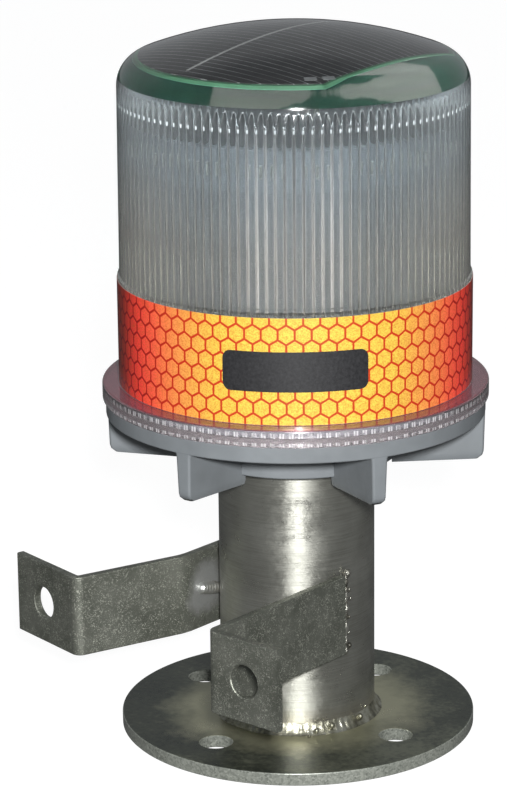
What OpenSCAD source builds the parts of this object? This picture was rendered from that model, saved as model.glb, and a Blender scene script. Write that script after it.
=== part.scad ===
// Solar LED warning lantern on a welded steel mounting post.
// Origin: centre of the base plate's underside. +Z is up, and the side straps reach towards -Y.

/* [Base plate and post] */
// Diameter of the round base plate
plate_d = 138; // [134:1:150]
// Thickness of the base plate
plate_t = 5; // [4:0.5:8]
// Diameter of the circle that the four base bolts sit on
bolt_circle_d = 98; // [92:1:104]
// Diameter of the bolt holes in the plate and in the strap flanges
bolt_hole_d = 12.7; // [9:0.1:14]
// Outside diameter of the post (2 inch nominal pipe)
post_d = 60.3; // [60:0.1:60.6]
// Wall thickness of the post
post_wall = 3.9; // [2:0.1:5.5]
// Reach over the plate of the fillet weld round the foot of the post
foot_weld_out = 3.8; // [3:0.1:8]
// Height of that weld up the post
foot_weld_up = 6.2; // [3:0.1:8]

/* [Side straps] */
// Height of the flat bar
strap_w = 31.75; // [25:0.25:38]
// Thickness of the flat bar
strap_t = 3.2; // [2.5:0.1:3.5]
// Height of the straps' lower edge over the floor
strap_z = 36.7; // [20:0.1:45]
// Outer radius of each sharp bend
bend_r = 3.8; // [3.7:0.1:8]
// Distance from the post's axis to the inner face of the right strap
right_face_x = 29.2; // [29:0.1:32]
// Distance from the post's axis to the right strap's bolt face
right_reach = 86.5; // [70:0.5:110]
// Length of the right strap's bolt flange
right_flange = 33.5; // [28:0.1:45]
// Length of the left strap alongside the post, before it splays out
left_lead = 35; // [30:1:40]
// Angle by which the left strap splays outward
left_splay = 18.4; // [0:0.1:25]
// Length of the left strap's splayed arm
left_arm = 47; // [35:1:70]
// Angle between the left strap's bolt flange and the X axis
left_flange_tilt = 11.5; // [0:0.5:15]
// Length of the left strap's bolt flange
left_flange = 39.8; // [30:0.1:48]

/* [Lantern base] */
// Outside diameter of the moulded ring
ring_d = 145.2; // [144:0.2:147]
// Height of the ring's upper face over the floor
ring_top = 133.4; // [130:0.1:140]
// Thickness of the ring at its rim
ring_t = 6.3; // [5:0.1:8]
// Outside diameter of the collar that slips over the post
collar_d = 79; // [74:1:84]
// Depth of the collar below the ring
collar_h = 16.4; // [14:0.1:18]
// Thickness of each fin
fin_t = 6; // [4:0.1:8]
// Height of the fins below the ring
fin_h = 18.3; // [17:0.1:20]
// Angle at which the lantern is set on the post
lantern_turn = 5; // [0:1:59]

/* [Lens] */
// Diameter of the lens's foot flange
flange_d = 147.6; // [147.6:0.2:150]
// Thickness of the foot flange
flange_t = 6.6; // [5:0.1:8]
// Outside diameter of the lens where the film is stuck on
foot_d = 134.2; // [134:0.1:135]
// Outside diameter of the fluted wall at its foot
wall_d = 132.9; // [132:0.1:133.5]
// Amount by which the fluted wall's radius narrows towards its top
wall_draft = 0.5; // [0:0.1:1]
// Height of the overall object
total_h = 275; // [272:0.5:278]
// Radius of the shoulder between the wall and the cap
shoulder_r = 12.2; // [9:0.1:14]
// Radius of the domed cap
cap_r = 169; // [150:1:200]
// Height of the cast resin's flat underside over the floor
resin_z = 255.3; // [251:0.1:256]
// Height of the lens's ceiling, which the panel lies against
ceiling_z = 262.5; // [258:0.1:263]

/* [Reflective film] */
// Height of the film's lower edge over the floor
film_z = 140.2; // [140:0.1:142]
// Height of the film
film_h = 40; // [30:0.5:41]
// Thickness of the film
film_t = 0.3; // [0.2:0.05:0.5]
// Width of the blank label
label_w = 54; // [30:1:80]
// Height of the blank label
label_h = 15; // [8:1:25]
// Direction of the blank label, from the straps' direction towards +X
label_turn = 40; // [0:1:359]

/* [Inside] */
// Outside diameter of the inner drum
drum_d = 92; // [88:1:96]
// Height of the drum's roof over the floor
drum_top = 238; // [234:1:242]
// Diameter of the solar panel's board
panel_d = 116.4; // [100:0.1:117]
// Distance from the axis to the panel's straight-cut side
panel_cut = 45.9; // [40:0.1:57]
// Direction of the straight-cut side, from the straps' direction towards +X
panel_cut_turn = 89; // [0:1:359]
// Number of LEDs round the drum
led_count = 16; // [8:1:24]
// Diameter of a battery cell
cell_d = 33; // [30:0.5:33.5]
// Height of a battery cell without its tip
cell_h = 59.5; // [45:0.5:60]

/* [Hidden] */
$fn = 96;

eps = 0.01;                                 // overshoot of a cut past a face
fit = 0.05;                                 // radial clearance of a running fit
clear = 0.3;                                // gap between pieces that move past each other

post_r = post_d / 2;
strap_mid = strap_z + strap_w / 2;
bend_mid_r = bend_r - strap_t / 2;          // bend radius at the middle of the bar
right_hole_at = 18;                         // bolt hole's distance from the strap's inner face
left_hole_at = 20.7;                        // bolt hole's distance from the flange's corner
right_start_y = -9.8;
right_bend_in = bend_mid_r + strap_t / 2;
right_run = right_reach + right_start_y - right_bend_in;
left_face_x = post_r + 0.35;
left_start_y = 5;
left_heading = -90 - left_splay;
left_flange_heading = 180 - left_flange_tilt;
left_turn = left_flange_heading - (left_heading + 360);
left_cut_back = bend_mid_r * tan(abs(left_turn) / 2);
left_kink = [-left_face_x - strap_t / 2, left_start_y - left_lead];
left_corner = left_kink + left_arm * [cos(left_heading), sin(left_heading)];
bead_r = 2.6;                               // upright weld beads along the straps' ends
short_bead_r = 2.6;                         // short bead along the left strap's middle
short_bead_y = -21;
short_bead_len = 8;

ring_z = ring_top - ring_t;                 // underside of the ring
collar_z = ring_z - collar_h;
fin_z = ring_z - fin_h;
post_top = ring_z - 0.1;
fin_r = ring_d / 2 - 0.1;                   // outer end of the fins
fin_round = 2.5;                            // radius of a fin's lower outer corner
deck_t = 4;
deck_top = ring_z + deck_t;
well_r = 58.3;                              // inside of the spigot
spigot_r = 62.3;
spigot_h = 9.1;
gap_turns = [90, 210, 330];                 // gaps between fins that hold the set screws
fin_count = 6;
screw_z = ring_z - collar_h / 2;
screw_r = 3;
hex_r = 1.7;                                // corner radius of a hexagon socket

switch_turn = 150;                          // gap between fins that holds the switch
switch_at = 52;                             // distance of the switch from the axis
button_r = 2.6;
button_out = 3.2;                           // how far the button stands out of its neck
button_in = 3.8;                            // button's length above the ring's underside
neck_r = 4;
neck_drop = 4;                              // neck length below the ring
switch_r = 5.6;
switch_h = 14;
nut_r = 6.6;
nut_h = 2.6;

small_r = 1.3;                              // shank of the small screws, and of their pilot holes
small_hole_r = 1.6;                         // hole that a small screw passes through
small_head_r = 2.8;
small_head_h = 1.8;
bolt_r = 1.95;                              // battery bolt
bolt_z = ring_z + 1.2;
bolt_hole_r = 2.1;

drum_r = drum_d / 2;
drum_wall = 2;
lug_r = 55.5;                               // outer end of the drum's feet
lug_w = 12;
lug_t = 2.5;
lug_turns = [10, 100, 190, 280];
lug_screw_at = 51.5;
pin_r = 0.9;                                // spring pins that feed the panel's current down
pin_at = [12, 19];                          // radii of the pins, and of the rings they touch
pin_turn = 60;
pin_gap = 0.05;                             // gap left between a pin and its ring
pin_block_h = 5;
ring_w = 3.4;
ring_foil = 0.1;
rod_r = 0.6;                                // rods from the rings up to the board
rod_turn = 180;

tray_r = 42.6;
tray_h = 9;
cell_at = 24.2;                             // distance of each cell from the axis
cell_turns = [45, 135, 225, 315];
contact_t = 1;
cell_z = deck_top + 2 + contact_t;
cell_tip = 1.5;
cap_z = cell_z + cell_h + cell_tip + contact_t;
cap_t = 3.5;

board_z = 222;
board_t = 1.6;
board_r = 39;
standoff_at = 30;
standoff_turns = [0, 120, 240];

strip_z = 221.5;
strip_h = 15.5;
strip_t = 0.8;

panel_t = 1.6;
wafer_t = 0.35;
wafer_edge = 1.2;                           // green margin round the wafer
resin_r = panel_d / 2 + 0.4;
ribbon_w = 1.2;
ribbon_t = 0.15;
panel_z = ceiling_z - ribbon_t - wafer_t - panel_t;
ribbon_at = -4.4;                           // busbar's distance from the axis towards the cut side
ribbon_end = 6;                             // busbar's end in from the panel's rim
tab_at = 51.5;                              // inner end of the solder tabs on the wafer
tab_w = 4.4;
tab_l = 3.2;
tab_turns = [46.5, 53.5];

seat_z = ring_top + 0.02;                   // lens and seal stand just clear of the ring's face
flange_top = ring_top + flange_t;
step_z = film_z + film_h + 1.2;             // where the foot zone steps in to the fluted wall
thread_top = ring_top + spigot_h + 0.8;
wall_top_r = wall_d / 2 - wall_draft;
cap_reach = wall_top_r - shoulder_r;        // radius of the shoulder arc's centre line
cap_drop = sqrt(pow(cap_r - shoulder_r, 2) - pow(cap_reach, 2));
shoulder_z = total_h - cap_r + cap_drop;    // height of the shoulder arc's centre
cap_angle = atan2(cap_drop, cap_reach);
lens_in_top = wall_top_r - 3;
lens_in_foot = foot_d / 2 - 3.5;
seal_in = 65;
seal_out = 67.3;
seal_h = 2.3;

// ---------- shared shapes ----------

// A ring with its axis on Z
module tube(r_out, r_in, h) {
    difference() {
        cylinder(r = r_out, h = h);
        translate([0, 0, -eps]) cylinder(r = r_in, h = h + 2 * eps);
    }
}

// Turn the children to a direction counted from -Y towards +X
module facing(turn) {
    rotate([0, 0, turn - 90]) children();
}

// The children are drawn in the lantern's own frame, which is set on the post at an angle
module on_lantern() {
    rotate([0, 0, lantern_turn]) children();
}

// One copy of the children for each direction in the list
module at_turns(turns) {
    for (turn = turns) facing(turn) children();
}

// Points of a bar's middle line: straight runs and bends, each bend in steps of about 10 degrees.
// steps holds [run, bend angle] pairs, and each sample is [x, y, heading].
function bend_samples(p, heading, angle) =
    let (n = max(1, ceil(abs(angle) / 10)), side = sign(angle),
         c = p + bend_mid_r * side * [-sin(heading), cos(heading)])
    [for (i = [1 : n]) let (h = heading + angle * i / n)
        concat(c - bend_mid_r * side * [-sin(h), cos(h)], [h])];

function bar_samples(p, heading, steps, i = 0) =
    i == len(steps) ? [] :
    let (q = p + steps[i][0] * [cos(heading), sin(heading)],
         bend = steps[i][1] == 0 ? [] : bend_samples(q, heading, steps[i][1]),
         last = len(bend) == 0 ? concat(q, [heading]) : bend[len(bend) - 1])
    concat([concat(q, [heading])], bend,
           bar_samples([last[0], last[1]], last[2], steps, i + 1));

function side_point(s, d) = [s[0] - d * sin(s[2]), s[1] + d * cos(s[2])];

// A flat bar on edge, bent along its length
module bent_bar(p, heading, steps) {
    s = concat([concat(p, [heading])], bar_samples(p, heading, steps));
    n = len(s);
    left = [for (i = [0 : n - 1]) side_point(s[i], strap_t / 2)];
    right = [for (i = [n - 1 : -1 : 0]) side_point(s[i], -strap_t / 2)];
    translate([0, 0, strap_z]) linear_extrude(strap_w) polygon(concat(left, right));
}

// ---------- base plate and post ----------

module base_plate() {
    color("dimgray") difference() {
        cylinder(d = plate_d, h = plate_t);
        at_turns([0, 90, 180, 270]) translate([bolt_circle_d / 2, 0, -eps])
            cylinder(d = bolt_hole_d, h = plate_t + 2 * eps);
    }
}

module post_tube() {
    color("darkgray") translate([0, 0, plate_t])
        tube(post_r, post_r - post_wall, post_top - plate_t);
}

// The bead bulges a little, as a laid fillet does
module base_weld() {
    bulge = 0.56;
    color("silver") translate([0, 0, plate_t]) rotate_extrude() polygon([
        [post_r, 0], [post_r + foot_weld_out, 0],
        [post_r + foot_weld_out * bulge, foot_weld_up * bulge], [post_r, foot_weld_up]
    ]);
}

// ---------- side straps ----------

module right_strap() {
    hole_x = right_face_x + right_hole_at;
    color("slategray") difference() {
        bent_bar([right_face_x + strap_t / 2, right_start_y], -90,
                 [[right_run, 90], [right_flange - right_bend_in, 0]]);
        translate([hole_x, -right_reach - eps, strap_mid]) rotate([-90, 0, 0])
            cylinder(d = bolt_hole_d, h = strap_t + 2 * eps);
    }
}

module left_strap() {
    kink_cut_back = bend_mid_r * tan(left_splay / 2);
    flange_dir = [cos(left_flange_heading), sin(left_flange_heading)];
    hole_at = left_corner + left_hole_at * flange_dir;
    color("slategray") difference() {
        bent_bar([left_kink[0], left_start_y], -90, [
            [left_lead - kink_cut_back, -left_splay],
            [left_arm - kink_cut_back - left_cut_back, left_turn],
            [left_flange - left_cut_back - strap_t / 2, 0]
        ]);
        translate([hole_at[0], hole_at[1], strap_mid]) rotate([0, 0, left_flange_heading])
            rotate([90, 0, 0]) cylinder(d = bolt_hole_d, h = strap_t * 2, center = true);
    }
}

// Cuts the room of the post and the straps out of a weld bead
module clear_of_metal() {
    difference() {
        children();
        cylinder(r = post_r, h = post_top);
        translate([right_face_x, right_start_y - 30, 0]) cube([strap_t, 30, post_top]);
        translate([-left_face_x - strap_t, left_start_y - left_lead, 0])
            cube([strap_t, left_lead, post_top]);
    }
}

// A straight bead with round ends, up along Z
module bead(r, h) {
    cylinder(r = r, h = h);
    sphere(r = r);
    translate([0, 0, h]) sphere(r = r);
}

module right_strap_weld() {
    color("silver") clear_of_metal()
        translate([right_face_x + bead_r - 0.7, right_start_y + bead_r - 0.6, strap_z])
            bead(bead_r, strap_w - 1);
}

module left_strap_weld() {
    color("silver") clear_of_metal() {
        translate([-left_face_x - 0.9, left_start_y + 0.9, strap_z + 1])
            bead(bead_r, strap_w - 2);
        translate([-left_face_x + 0.9, short_bead_y, strap_mid]) rotate([-90, 0, 8])
            bead(short_bead_r, short_bead_len);
    }
}

// ---------- lantern base ----------

module fin() {
    round_x = fin_r - fin_round;
    translate([0, fin_t / 2, 0]) rotate([90, 0, 0]) linear_extrude(fin_t) union() {
        polygon([
            [collar_d / 2 - 2, ring_z + 2], [collar_d / 2 - 2, collar_z + 2],
            [collar_d / 2 + 0.4, collar_z + 2], [collar_d / 2 + 0.4, fin_z - 2],
            [round_x, fin_z], [fin_r, fin_z + fin_round], [fin_r, ring_z + 2]
        ]);
        translate([round_x, fin_z + fin_round]) circle(r = fin_round);
    }
}

module lantern_base() {
    color("lightslategray") on_lantern() difference() {
        union() {
            translate([0, 0, ring_z]) cylinder(d = ring_d, h = ring_t);
            translate([0, 0, collar_z]) cylinder(d = collar_d, h = collar_h + 1);
            translate([0, 0, ring_top - 1]) cylinder(r = spigot_r, h = spigot_h + 1);
            for (i = [0 : fin_count - 1]) facing(i * 360 / fin_count) fin();
        }
        translate([0, 0, collar_z - eps]) cylinder(r = post_r + fit, h = collar_h + eps);
        translate([0, 0, deck_top]) cylinder(r = well_r, h = spigot_h + ring_t);
        at_turns(gap_turns) translate([0, 0, screw_z]) rotate([0, 90, 0])
            cylinder(r = screw_r, h = collar_d);
        facing(switch_turn) translate([switch_at, 0, ring_z - 1])
            cylinder(r = neck_r, h = deck_t + 2);
        at_turns(lug_turns) translate([lug_screw_at, 0, ring_z + 1])
            cylinder(r = small_r, h = deck_t);
        translate([0, 0, bolt_z]) cylinder(r = bolt_r, h = deck_t);
    }
}

// Grub screws with hexagon sockets, just clear of the post so that the lantern can be turned
module set_screws() {
    screw_in = post_r + 0.1;
    screw_len = collar_d / 2 - 1 - screw_in;
    color("dimgray") on_lantern() at_turns(gap_turns)
        translate([screw_in, 0, screw_z]) rotate([0, 90, 0]) difference() {
            cylinder(r = screw_r, h = screw_len);
            translate([0, 0, screw_len - 3]) cylinder(r = hex_r, h = 3 + eps, $fn = 6);
        }
}

module switch_body() {
    color("black") on_lantern() facing(switch_turn) translate([switch_at, 0, 0]) difference() {
        union() {
            translate([0, 0, deck_top]) cylinder(r = switch_r, h = switch_h);
            translate([0, 0, ring_z - neck_drop]) cylinder(r = neck_r, h = neck_drop + deck_t + 1);
        }
        translate([0, 0, ring_z - neck_drop - eps])
            cylinder(r = button_r + fit, h = neck_drop + deck_t + 6);
    }
}

module switch_nut() {
    color("silver") on_lantern() facing(switch_turn)
        translate([switch_at, 0, ring_z - nut_h]) difference() {
            cylinder(r = nut_r, h = nut_h, $fn = 6);
            translate([0, 0, -eps]) cylinder(r = neck_r, h = nut_h + 2 * eps);
        }
}

module switch_button() {
    button_z = ring_z - neck_drop - button_out;
    color("firebrick") on_lantern() facing(switch_turn) translate([switch_at, 0, button_z]) {
        cylinder(r = button_r, h = button_out + neck_drop + button_in);
    }
}

// ---------- inside the lens ----------

module inner_drum() {
    color("whitesmoke") on_lantern() difference() {
        union() {
            translate([0, 0, deck_top]) cylinder(r = drum_r, h = drum_top - deck_top);
            at_turns(lug_turns) translate([drum_r - 2, -lug_w / 2, deck_top])
                cube([lug_r - drum_r + 2, lug_w, lug_t]);
        }
        translate([0, 0, deck_top - eps])
            cylinder(r = drum_r - drum_wall, h = drum_top - drum_wall - deck_top + eps);
        at_turns(lug_turns) translate([lug_screw_at, 0, deck_top - eps])
            cylinder(r = small_hole_r, h = lug_t + 2 * eps);
        facing(pin_turn) for (x = pin_at) translate([x, 0, drum_top - drum_wall - 1])
            cylinder(r = small_hole_r, h = drum_wall + 2);
    }
}

module drum_screws() {
    color("silver") on_lantern() at_turns(lug_turns) translate([lug_screw_at, 0, 0]) {
        translate([0, 0, ring_z + 1]) cylinder(r = small_r, h = deck_t + lug_t - 1);
        translate([0, 0, deck_top + lug_t]) difference() {
            cylinder(r = small_head_r, h = small_head_h);
            for (turn = [0, 90]) rotate([0, 0, turn]) translate([-2, -0.4, 1]) cube([4, 0.8, 1]);
        }
    }
}

module battery_tray() {
    color("dimgray") on_lantern() translate([0, 0, deck_top]) difference() {
        cylinder(r = tray_r, h = tray_h);
        at_turns(cell_turns) translate([cell_at, 0, 2]) cylinder(d = cell_d + 0.4, h = tray_h);
        translate([0, 0, -eps]) cylinder(r = bolt_hole_r, h = tray_h + 2 * eps);
    }
}

module battery_cells() {
    color("seagreen") on_lantern() at_turns(cell_turns) translate([cell_at, 0, cell_z]) {
        cylinder(d = cell_d, h = cell_h);
        cylinder(r = 4.5, h = cell_h + cell_tip);
    }
}

module battery_contacts() {
    color("gold") on_lantern() at_turns(cell_turns) translate([cell_at, 0, 0]) {
        translate([0, 0, cell_z - contact_t]) cylinder(r = 9, h = contact_t);
        translate([0, 0, cap_z - contact_t]) cylinder(r = 8, h = contact_t);
    }
}

module battery_cap() {
    color("dimgray") on_lantern() translate([0, 0, cap_z]) tube(tray_r, bolt_hole_r, cap_t);
}

module battery_bolt() {
    color("silver") on_lantern() {
        translate([0, 0, bolt_z]) cylinder(r = bolt_r, h = cap_z + cap_t - bolt_z);
        translate([0, 0, cap_z + cap_t]) difference() {
            cylinder(r = 3.6, h = 3);
            translate([0, 0, 1.2]) cylinder(r = hex_r, h = 2, $fn = 6);
        }
    }
}

module control_board() {
    color("darkgreen") on_lantern() translate([0, 0, board_z]) difference() {
        cylinder(r = board_r, h = board_t);
        at_turns(standoff_turns) translate([standoff_at, 0, -eps])
            cylinder(r = small_hole_r, h = board_t + 2 * eps);
    }
}

// Capacitors, a chip, a crystal and a coil on the board, and two plugs below it
module control_parts() {
    top = board_z + board_t;
    plug_h = 7;
    color("black") on_lantern() {
        for (y = [-14, 0]) translate([-24, y, top]) cylinder(r = 4, h = 9);
        translate([-8, -16, top]) cube([9, 12, 2.4]);
        translate([6, -18, top]) cube([5, 4, 1.6]);
        translate([-6, 6, top]) tube(6.5, 2.6, 4.5);
        translate([16, 8, board_z - plug_h]) cube([7, 12, plug_h]);
        translate([-20, -24, board_z - plug_h]) cube([12, 7, plug_h]);
    }
}

module board_standoffs() {
    h = drum_top - drum_wall - board_z - board_t;
    color("gold") on_lantern() at_turns(standoff_turns)
        translate([standoff_at, 0, board_z + board_t]) difference() {
            cylinder(r = 3.2, h = h, $fn = 6);
            translate([0, 0, -eps]) cylinder(r = small_r, h = 7);
        }
}

module board_screws() {
    color("silver") on_lantern() at_turns(standoff_turns)
        translate([standoff_at, 0, board_z]) {
            translate([0, 0, -small_head_h]) cylinder(r = small_head_r, h = small_head_h);
            cylinder(r = small_r, h = board_t + 5);
        }
}

module led_board() {
    color("white") on_lantern() translate([0, 0, strip_z]) tube(drum_r + strip_t, drum_r, strip_h);
}

// Each LED is a square package with a clear dome, facing outward
module leds() {
    package = 5;
    color("lightyellow") on_lantern() for (i = [0 : led_count - 1]) facing(i * 360 / led_count)
        translate([drum_r + strip_t, 0, strip_z + strip_h / 2]) {
            translate([0, -package / 2, -package / 2]) cube([1.6, package, package]);
            translate([1.4, 0, 0]) intersection() {
                sphere(r = 2.1);
                translate([0, -3, -3]) cube([3, 6, 6]);
            }
        }
}

// Block on the drum's roof that guides the spring pins
module pin_block() {
    color("black") on_lantern() facing(pin_turn) difference() {
        translate([pin_at[0] - 4, -4, drum_top]) cube([pin_at[1] - pin_at[0] + 8, 8, pin_block_h]);
        for (x = pin_at) translate([x, 0, drum_top - eps])
            cylinder(r = pin_r, h = pin_block_h + 2 * eps);
    }
}

module contact_pins() {
    foot = board_z + board_t;
    color("gold") on_lantern() facing(pin_turn) for (x = pin_at) translate([x, 0, foot])
        cylinder(r = pin_r, h = resin_z - ring_foil - pin_gap - foot);
}

// Rings under the resin that the pins touch at any angle of the lens
module contact_rings() {
    color("gold") translate([0, 0, resin_z - ring_foil]) for (r = pin_at)
        tube(r + ring_w / 2, r - ring_w / 2, ring_foil);
}

// Rods through the resin from the rings to the board
module contact_rods() {
    color("gold") facing(rod_turn) for (x = pin_at) translate([x, 0, resin_z])
        cylinder(r = rod_r, h = panel_z - resin_z);
}

// A disc with one straight-cut side; inset moves the whole outline in
module panel_blank(h, inset) {
    cut = panel_cut - inset;
    difference() {
        cylinder(r = panel_d / 2 - inset, h = h);
        facing(panel_cut_turn) translate([cut, -panel_d, -eps])
            cube([panel_d, 2 * panel_d, h + 2 * eps]);
    }
}

module solar_board() {
    color("seagreen") translate([0, 0, panel_z]) panel_blank(panel_t, 0);
}

module solar_cell() {
    color("#22242a") translate([0, 0, panel_z + panel_t]) panel_blank(wafer_t, wafer_edge);
}

// Busbar ribbon soldered along the wafer, parallel to its straight-cut side
module cell_ribbon() {
    reach = panel_d / 2 - ribbon_end;
    color("silver") facing(panel_cut_turn)
        translate([ribbon_at - ribbon_w / 2, -reach, panel_z + panel_t + wafer_t])
            cube([ribbon_w, 2 * reach, ribbon_t]);
}

module solder_tabs() {
    color("silver") for (turn = tab_turns) facing(turn)
        translate([tab_at, -tab_w / 2, panel_z + panel_t + wafer_t]) cube([tab_l, tab_w, ribbon_t]);
}

// Clear resin poured over the panel's back, filling the lens up to its ceiling
module panel_resin() {
    color("lightcyan", 0.5) difference() {
        translate([0, 0, resin_z]) cylinder(r = resin_r, h = ceiling_z - resin_z);
        contact_rods();
        solar_board();
        solar_cell();
        cell_ribbon();
        solder_tabs();
    }
}

// ---------- lens head ----------

// Half outline of the lens: foot flange, film zone, fluted wall, shoulder and domed cap outside,
// thread zone, wall, resin pocket and ceiling inside
module lens_outline() {
    arc_steps = 12;
    shoulder = [for (i = [0 : arc_steps]) let (a = cap_angle * i / arc_steps)
        [cap_reach + shoulder_r * cos(a), shoulder_z + shoulder_r * sin(a)]];
    cap = [for (i = [1 : arc_steps]) let (a = cap_angle + (90 - cap_angle) * i / arc_steps)
        [cap_r * cos(a), total_h - cap_r + cap_r * sin(a)]];
    polygon(concat(
        [[spigot_r + 2 * fit, seat_z], [flange_d / 2 - 0.6, seat_z],
         [flange_d / 2, ring_top + 0.8], [flange_d / 2, flange_top - 0.8],
         [flange_d / 2 - 0.8, flange_top], [foot_d / 2, flange_top], [foot_d / 2, step_z],
         [wall_d / 2, step_z + 0.6]],
        shoulder, cap,
        [[0, ceiling_z], [resin_r, ceiling_z], [resin_r, resin_z], [lens_in_top, resin_z],
         [lens_in_foot, thread_top + 1],
         [spigot_r + 2 * fit, thread_top]]));
}

module lens() {
    color("lightcyan", 0.5) difference() {
        rotate_extrude() lens_outline();
        translate([0, 0, seat_z - eps])
            tube(seal_out + clear, seal_in - clear, seal_h + clear + eps);
    }
}

module lens_seal() {
    color("gray") translate([0, 0, seat_z]) tube(seal_out, seal_in, seal_h);
}

module reflective_band() {
    color("orangered") translate([0, 0, film_z]) tube(foot_d / 2 + film_t, foot_d / 2, film_h);
}

// A plain rounded rectangle of dark film, bent round the band
module blank_label() {
    corner = 3;
    band_r = foot_d / 2 + film_t;
    color("black") intersection() {
        translate([0, 0, film_z]) tube(band_r + 0.2, band_r, film_h);
        translate([0, 0, film_z + film_h / 2]) facing(label_turn) rotate([90, 0, 90])
            linear_extrude(band_r + 5) union() {
                square([label_w, label_h - 2 * corner], center = true);
                square([label_w - 2 * corner, label_h], center = true);
                for (x = [-1, 1], y = [-1, 1])
                    translate([x * (label_w / 2 - corner), y * (label_h / 2 - corner)])
                        circle(r = corner);
            }
    }
}

// ---------- output ----------

base_plate();
post_tube();
right_strap();
left_strap();
base_weld();
right_strap_weld();
left_strap_weld();
lantern_base();
set_screws();
switch_body();
switch_nut();
switch_button();
inner_drum();
drum_screws();
battery_tray();
battery_cells();
battery_contacts();
battery_cap();
battery_bolt();
control_board();
control_parts();
board_standoffs();
board_screws();
led_board();
leds();
pin_block();
contact_pins();
contact_rings();
contact_rods();
solar_board();
solar_cell();
cell_ribbon();
solder_tabs();
panel_resin();
lens();
lens_seal();
reflective_band();
blank_label();
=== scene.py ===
import math
import bpy
import bmesh
from mathutils import Matrix, Vector, noise


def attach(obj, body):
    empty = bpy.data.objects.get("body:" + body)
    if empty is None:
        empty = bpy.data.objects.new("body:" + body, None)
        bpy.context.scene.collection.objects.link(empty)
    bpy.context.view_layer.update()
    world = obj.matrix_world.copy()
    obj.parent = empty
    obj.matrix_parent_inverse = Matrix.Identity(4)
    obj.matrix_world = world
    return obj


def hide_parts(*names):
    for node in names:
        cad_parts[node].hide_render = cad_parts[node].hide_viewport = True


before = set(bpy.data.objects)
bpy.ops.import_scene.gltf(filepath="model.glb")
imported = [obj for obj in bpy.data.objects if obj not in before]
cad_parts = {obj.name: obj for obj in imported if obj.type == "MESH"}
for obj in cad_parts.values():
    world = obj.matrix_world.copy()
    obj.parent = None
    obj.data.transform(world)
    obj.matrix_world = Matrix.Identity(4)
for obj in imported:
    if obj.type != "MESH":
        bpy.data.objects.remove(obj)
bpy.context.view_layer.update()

MM = 0.001
TAU = 2 * math.pi

# ---------- dimensions ----------

FRONT = 40                        # direction of the camera, from the straps' side towards +X

# plate, post, and the legs of the fillet round its foot
PLATE_R, PLATE_T = 69, 5
BOLT_CIRCLE_R, HOLE_R = 49, 6.35
POST_R = 30.15
FOOT_OUT, FOOT_UP = 3.8, 6.2

# flat straps: the right one has one sharp bend, the left one a gentle kink and a sharp bend
STRAP_T, STRAP_W, STRAP_Z = 3.2, 31.75, 36.7
STRAP_TOP, STRAP_MID = STRAP_Z + STRAP_W, STRAP_Z + STRAP_W / 2
BEND_MID_R, KINK_R = 2.2, 22
BEND_STEP, KINK_STEP = 9, 2       # most degrees between two samples of them
RIGHT_START, RIGHT_HOLE = (30.8, -9.8), (47.2, -84.9)
RIGHT_ARM, RIGHT_FLANGE = 72.9, 29.7
LEFT_START, LEFT_HOLE = (-32.1, 5), (-67.22, -70.47)
LEFT_LEAD, LEFT_ARM, LEFT_FLANGE = 35, 47, 39.8
LEFT_SPLAY, LEFT_TILT = 18.4, 11.5
TACK_BACK = (-29.9, -21.6, STRAP_MID + 0.5)
TACK_FRONT = (-29.4, -15.0, STRAP_MID - 0.9)
HEATED_AT = (-31, -19, 52.6)      # middle of the patch that the tack discoloured

# lantern base
RING_R, RING_Z, RING_TOP = 72.6, 127.1, 133.4
COLLAR_R, COLLAR_Z = 39.5, 110.7
FINS, FIN_R, FIN_Z, FIN_T = 6, 72.5, 108.8, 6.0
SPIGOT_R, SPIGOT_TOP, WELL_R, DECK_TOP = 62.3, 142.5, 58.3, 131.1
SCREW_TURNS, SCREW_Z, SCREW_HOLE_R = (90, 210, 330), 118.9, 3
SWITCH_TURN, SWITCH_AT, SWITCH_HOLE_R = 150, 52, 4
LANTERN_TURN = 5

# lens, from its foot flange up
FLANGE_R, FLANGE_TOP, SEAT_Z = 73.8, 140.0, 133.42
GROOVE_OUT_R, GROOVE_IN_R, GROOVE_H = 67.6, 64.7, 2.6
THREAD_R, THREAD_TOP = 62.4, 143.3
FOOT_R, STEP_Z = 67.1, 181.4
WALL_R, WALL_TOP_R = 66.45, 65.95
SHOULDER_R, SHOULDER_AT, SHOULDER_Z = 12.2, 53.75, 253.3
CAP_R, TOP_Z, RESIN_Z = 169, 275, 255.3
BOND = 0.03                       # the contact rings are sunk this far in the resin's underside
FLUTES, FLUTE_R, FLUTE_DEPTH = 121, 62.9, 1.2
ARCH_FOOT_Z, ARCH_TOP_Z = 247.3, 254.0

# pale marks on the lens, from 0 for clear to 1 for solid, and their sizes; the rims, dots and ticks are
# painted glints
STREAK_HAZE, RIM_PAINTED_GLINT, DOT_PAINTED_GLINT = 0.034, 0.14, 0.4      # on the ribs; the rims and dots are painted glints
STREAK_AT, STREAK_HALF, DOT_FROM = 0.42, 0.09, 0.8      # as shares of half a rib
RIM_HALF, DOT_HALF = 0.35, 0.7
# painted side light: haze on the wall at the front and at the sides
SIDE_LIGHT_HAZE_FRONT, SIDE_LIGHT_HAZE_SIDE = 0.012, 0.06
WARM_Z, COOL_Z = 200, 232                               # the wall's tint changes between them: warmer below as painted warm caustic light, cooler above
FLANGE_HAZE, TOP_PAINTED_REFLECTION = 0.008, 0.25                     # on the foot flange and its top; the top's red is a painted reflection of the film
# painted glints on the flange's ticks, brightest and faintest
TICK_PAINTED_GLINT, TICK_PAINTED_GLINT_FAINT = 0.42, 0.16
TICKS, TICK_HALF, TICK_GAP_HALF = 137, 0.26, 0.06       # the halves are shares of a tick's pitch
TICK_ROWS = ((138.1, 0.9), (134.6, 0.6))                # middle and half height of each row

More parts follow.
